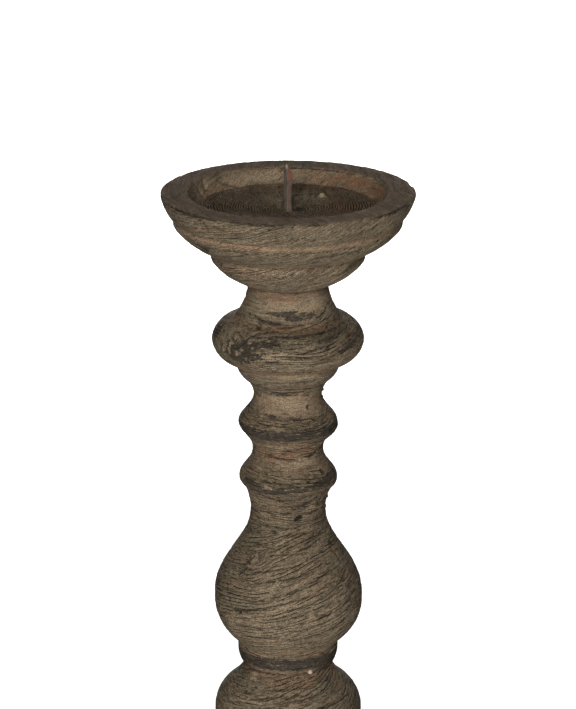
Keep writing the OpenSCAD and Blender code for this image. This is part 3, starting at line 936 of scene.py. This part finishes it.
RING_MARKS = [
    *many("calm", (0, 380, 70, 12, 0.85), (4, 349, 60, 9, 0.7), (180, 380, 90, 12, 0.6)),
    *many("dent", (88, 384, 2.5, 2, -0.8), (86, 380.5, 2, 2, -0.6), (86, 363, 26, 10, -0.9),
        (86, 334.5, 26, 9, -0.7), (82, 328, 3, 2, -0.6), (88, 322, 3, 2, -0.6)),
    *many("hole", (84, 366, 3, 2, 0.9), (34, 379.1, 2, 2.8, 1.5, -20), (51, 344.5, 1.7, 1.8, 0.9),
        (26, 341.7, 2.2, 1.8, 1.2), (17, 321.3, 6, 2.8, 1.3, 26)),
    *many("red", (0, 360.6, 40, 3, 0.6), (14, 355.6, 30, 4, 0.9, 6), (-26, 353.6, 26, 6, 0.8)),
    *around("dark", [389.6], 1.2, 0.6), ("dark", -6, 386.4, 16, 1.8, 0.6),
    ("crack", -2, 387.6, 34, 0.9, 0.55),
    # the wide pale patch at the front, at 380 mm, is a painted highlight
    ("pale", 0, 380, 44, 14, 0.6), ("pale", 40, 378, 20, 6, 0.4),
    *around("dark", [366.3], 6.4, 0.97), ("dark", -23, 375.2, 4.4, 1.8, 1.0),
    ("dark", 10, 374.5, 9, 1.5, 1.0, -4),
    *many("crack", (2, 374.4, 38, 0.8, 0.4), (24, 372.4, 30, 0.8, 0.45, 3), (-22, 371.6, 26, 0.8, 0.4)),
    *many("pale", (-20, 366.6, 6, 0.9, 0.55, 4), (10, 367.4, 9, 0.9, 0.55, 4),
        (36, 366.6, 8, 0.9, 0.55, 10), (-36, 368, 5, 0.9, 0.55), (22, 364.8, 5, 0.8, 0.5, 4),
        (-12, 359, 22, 4, 0.7)),
    *many("crack", (18, 357.4, 22, 1.3, 0.9, 8), (55, 354.2, 17, 1.6, 1.1, 14),
        (-16, 353, 24, 1.1, 0.6, -6), (6, 355.4, 14, 0.9, 0.5, 4)),
    ("pale", 22, 350, 24, 5, 0.8, 10),
    ("dark", 51, 344.6, 3.2, 3.2, 0.9),
    ("crack", -24, 347, 8, 0.9, 0.5, -8), ("crack", -16, 346.2, 8, 0.9, 0.5),
    ("pale", 51, 344.5, 0.9, 0.9, 1.0),
    *many("dark", (29, 344.8, 1.3, 1.1, 1.0), (-8, 337.6, 44, 4.2, 0.97, 7), (52, 340.4, 24, 5, 0.97, 12),
        (175, 337.8, 96, 4.8, 0.95), (-50, 339, 14, 6, 0.9, -6)),
    ("crack", -14, 341.4, 20, 1.1, 0.7, -4),
    *many("pale", (2, 338.6, 8, 1, 0.9, 6), (20, 339.6, 9, 0.9, 0.9, 10), (-24, 339, 6, 0.9, 0.9, -14),
        (6, 336.4, 4, 0.8, 0.8)),
    ("dark", 22, 328.6, 12, 2.2, 0.9, 24),
    *many("crack", (-30, 332.6, 12, 1.2, 0.7, -12), (-4, 331, 14, 1.3, 0.8), (26, 333, 12, 1.2, 0.8, 8),
        (-18, 327.8, 14, 1.1, 0.6, -4), (8, 327.6, 10, 1.1, 0.6, 2), (36, 330, 12, 1.3, 0.8, 24),
        (-34, 323.6, 12, 1.1, 0.6, -6), (-8, 323.8, 12, 1, 0.6, -2), (44, 323.6, 10, 1.2, 0.7, 10),
        (52, 327.8, 8, 1.4, 0.7, 60)),
    ("pale", 35, 325.6, 9, 7, 0.8, 40), ("pale", 20, 321.6, 1, 0.9, 1.0),
    *scattered(119, "upper_rings", 70),
]
VASE_MARKS = [
    ("fold", -44, 296, 16, 18, 3.2),
    ("hole", -41, 274.4, 3.4, 1.8, 0.9, 15),
    ("dent", 88, 268, 50, 40, -0.5),
    *around("red", [250.6], 1.6, 0.6),
    # painted light: the wide pale patch across the front at 284 mm
    ("pale", 5, 284, 76, 60, 0.35),
    *many("dark", (5, 313, 16, 3.4, 0.42), (-20, 314.3, 3.4, 2.2, 0.6), (36, 310.6, 14, 3.4, 0.5, 20),
        (62, 306.4, 3, 4.4, 0.9), (60, 286, 7, 3, 0.5, 30)),
    *many("crack", (-15, 316.4, 30, 1.2, 0.6, -3), (30, 307.6, 18, 1.3, 0.8, 18),
        (-28, 307, 22, 0.9, 0.5, -8), (-2, 304.4, 26, 0.9, 0.5, 4), (-44, 299.4, 8, 1.3, 0.7, 50),
        (-46, 294.6, 8, 1.3, 0.7, 50), (-55, 281.4, 16, 1.2, 0.7, -58), (-36, 276, 16, 1.5, 0.9, 8),
        (-6, 281.4, 44, 1, 0.7, 15), (4, 287.4, 44, 1, 0.7, 17), (14, 276.4, 42, 0.9, 0.6, 15),
        (-4, 293.4, 40, 1, 0.7, 12), (22, 291.6, 32, 1, 0.7, 20), (-10, 297.6, 34, 0.9, 0.6, 12),
        (26, 283, 34, 0.9, 0.6, 20), (61, 301, 11, 1.4, 0.8, -78), (54, 290, 20, 1.1, 0.7, 28),
        (56, 279, 22, 1, 0.6, 28), (30, 273.6, 11, 1.6, 0.9, 15), (46, 267, 13, 1.8, 1.0, 26),
        (52, 260.6, 14, 1.6, 0.9, 30), (22, 263.4, 40, 1, 0.7, 12), (-4, 258.4, 46, 0.9, 0.6, 3),
        (2, 254.6, 50, 0.9, 0.6, 2), (18, 268.6, 30, 0.9, 0.6, 13), (-22, 268, 34, 0.8, 0.5, 4),
        (-20, 262, 34, 0.8, 0.5, 2)),
    ("pale", -27, 266, 3, 5.4, 0.7, 30),
    *scattered(127, "upper_baluster", 70),
]
COLLAR_MARKS = [
    *around("red", [250], 2.0, 1.0), ("red", 38, 249.4, 30, 1.6, 0.9),
    ("pale", 0, 241, 60, 4, 0.4),
    *around("dark", [244.4], 7, 0.8),
    *many("pale", (-14, 244.6, 9, 0.8, 0.5, -2), (26, 243.6, 7, 0.7, 0.5, 8), (-30, 249, 20, 1.4, 0.7),
        (14, 245.8, 8, 0.7, 0.4, 3), (10, 248, 12, 1.4, 0.7)),
    *scattered(135, "collar", 12),
]
BULB_MARKS = [
    *around("red", [237, 170.8], 3, 0.7), ("red", 5, 234, 40, 4, 0.8),
    # painted light: the first pale patch, across the front at 220 mm
    *many("pale", (0, 220, 76, 30, 0.35), (-47, 235.4, 5, 9, 0.8, 30), (10, 231, 34, 4, 0.5, 4)),
    *many("crack", (11, 228.4, 32, 1, 0.7, 10), (0, 232.2, 30, 0.9, 0.6, 6), (-22, 228.6, 24, 1, 0.7, 16),
        (40, 224, 34, 1.1, 0.7, 6), (-30, 223, 30, 1, 0.6, 12)),
    *scattered(143, "lower_baluster", 90, clear=0, below=204),
]
LOWER_RING_MARKS = [
    *around("red", [169.4, 136], 2.4, 0.6),
    *around("dark", [150, 121.5], 5, 0.95),
    *scattered(151, "lower_rings", 90, clear=0),
]
LOWER_KNOP_MARKS = [
    *around("red", [85.8, 65.4, 49], 2.4, 0.8),
    ("knot", 35, 76, 20, 16, 8),
    ("dark", 22, 77, 16, 7, 0.9, 8),
    *scattered(159, "lower_knop", 60, clear=0),
]
FOOT_MARKS = [
    *around("red", [31.4, 16.8], 3, 0.7),
    *around("dark", [2.4], 2.4, 0.7),
    *scattered(167, "foot", 110, clear=0),
]

BLOCKS = {
    "dish": dict(
        columns=640, row=finest_outside(0.38, 0.46), hole=2.45, extra=dish_extra, slot="dish_wood",
        marks=DISH_MARKS, wood=Wood(3, middle=462, tilt=28, swing=14, reach=300, ring=1.2, relief=0.5)),
    "upper_knop": dict(
        columns=480, row=0.4, marks=KNOP_MARKS,
        wood=Wood(11, middle=412, tilt=6, swing=24, roll=-4, reach=190, ring=1.3, relief=0.36)),
    "upper_rings": dict(
        columns=360, row=0.38, slot="ring_wood", marks=RING_MARKS,
        wood=Wood(19, middle=354, tilt=8, swing=50, roll=3, reach=120, ring=1.3, relief=0.3)),
    "upper_baluster": dict(
        columns=512, row=0.36, marks=VASE_MARKS,
        wood=Wood(27, middle=284, tilt=16, swing=8, roll=-3, reach=230, ring=1.6, relief=0.46)),
    "collar": dict(
        columns=360, row=0.4, slot="ring_wood", marks=COLLAR_MARKS,
        wood=Wood(35, middle=244, tilt=5, reach=90, ring=1.3)),
    "lower_baluster": dict(
        columns=512, row=0.38, marks=BULB_MARKS,
        wood=Wood(43, middle=204, tilt=14, swing=6, roll=4, reach=190, ring=1.6, relief=0.5)),
    "lower_rings": dict(
        columns=360, row=0.42, slot="ring_wood", marks=LOWER_RING_MARKS,
        wood=Wood(51, middle=134, tilt=9, swing=20, roll=2, reach=120, ring=1.3)),
    "lower_knop": dict(
        columns=480, row=0.42, marks=LOWER_KNOP_MARKS,
        wood=Wood(59, middle=73, tilt=13, swing=14, roll=5, reach=110)),
    "foot": dict(
        columns=600, row=finest_outside(0.5, 1.2), slot="dish_wood", marks=FOOT_MARKS,
        wood=Wood(67, middle=24, tilt=14, swing=-16, roll=-3, reach=95, ring=1.35)),
}

OUTER = dict(dark=srgb(81, 74, 61), middle=srgb(121, 108, 88), pale=srgb(150, 133, 108))
MATERIALS = {
    "dish_wood": weathered_wood("dish_wood", grit=0.4, **OUTER),
    "stem_wood": weathered_wood("stem_wood", **OUTER),
    "ring_wood": weathered_wood("ring_wood", dark=srgb(80, 71, 58), middle=srgb(118, 103, 83),
                                pale=srgb(148, 129, 104), blotch=0.45),
    "dowel_wood": beech(), "iron": forged_iron(), "felt": felt(), "wax": wax(),
}

for node, parts in BLOCKS.items():
    piece = wooden_block(node, **parts)
    piece.data.materials.append(MATERIALS[parts.get("slot", "stem_wood")])

for node in DOWELS:
    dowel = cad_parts[node]
    dowel.data.materials.clear()
    dowel.data.materials.append(MATERIALS["dowel_wood"])
for node in PADS:
    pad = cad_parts[node]
    pad.data.materials.clear()
    pad.data.materials.append(MATERIALS["felt"])
spike = forged_spike()
spike.data.materials.append(MATERIALS["iron"])
drop = wax_drop()
drop.data.materials.append(MATERIALS["wax"])


# ---------------------------------------------------------------- floor, light and camera

def hide_from(obj, *rays):
    for ray in rays:
        setattr(obj, "visible_" + ray, False)


def floor():
    """A pale disc that casts no shadow, so that the low light shines up through it."""
    bpy.ops.mesh.primitive_circle_add(vertices=128, radius=6, fill_type="NGON")
    disc = bpy.context.object
    disc.name = "floor"
    m = Nodes("floor")
    mottle = m.ramp(m.noise(m.place(), scale=3, detail=2), 0.3, 0.7, 0.93, 0.95)
    disc.data.materials.append(m.finish(
        Base_Color=m.grey(mottle), Roughness=0.95, Emission_Color=WHITE, Emission_Strength=0.82))
    hide_from(disc, "diffuse", "glossy", "shadow")


def backdrop():
    """A pale dome that only the camera sees."""
    bpy.ops.mesh.primitive_uv_sphere_add(segments=48, ring_count=24, radius=6.1)
    dome = bpy.context.object
    dome.name = "backdrop"
    m = Nodes("backdrop")
    tone = m.ramp(m.noise(m.place(), scale=1, detail=1), 0.3, 0.7, 0.96, 1.0)
    dome.data.materials.append(m.finish(
        Base_Color=BLACK, Roughness=1.0, Emission_Color=m.grey(tone), Emission_Strength=1.0))
    hide_from(dome, "diffuse", "glossy", "transmission", "shadow")


def softbox(name, azimuth, elevation, distance, size, watts):
    """A square area light aimed at the column. Azimuth 0 is the camera's side, positive to the right."""
    aim = 0.33
    a, e = math.radians(azimuth), math.radians(elevation)
    light = bpy.data.lights.new(name, "AREA")
    light.shape = "SQUARE"
    light.size = size
    light.energy = watts
    lamp = bpy.data.objects.new(name, light)
    lamp.location = (distance * math.sin(a) * math.cos(e), -distance * math.cos(a) * math.cos(e),
                     aim + distance * math.sin(e))
    lamp.rotation_euler = (math.pi / 2 - e, 0, a)
    lamp.visible_camera = False
    bpy.context.scene.collection.objects.link(lamp)


def studio():
    floor()
    backdrop()
    softbox("key", -4, 21, 2.6, 0.9, 64)
    softbox("low", -4, -54, 2.6, 0.9, 40)
    softbox("left_fill", -138, 5, 2.4, 1.2, 5)
    softbox("right_fill", 138, 5, 2.4, 1.2, 5)
    softbox("back", 180, 2, 2.6, 1.0, 50)
    world = bpy.data.worlds.new("studio")
    world.use_nodes = True
    background = world.node_tree.nodes["Background"].inputs
    background["Color"].default_value = WHITE
    background["Strength"].default_value = 0.018
    bpy.context.scene.world = world
    bpy.context.scene.view_settings.view_transform = "Standard"


def camera():
    """A long lens, a little above the dish, that looks down at the upper half of the column."""
    data = bpy.data.cameras.new("camera")
    data.lens = 254.5
    data.sensor_width = 36
    data.clip_end = 20
    view = bpy.data.objects.new("camera", data)
    view.location = (0, -2.416, 1.1288)
    view.rotation_euler = (math.radians(73.26), 0, 0)
    bpy.context.scene.collection.objects.link(view)
    bpy.context.scene.camera = view


studio()
camera()
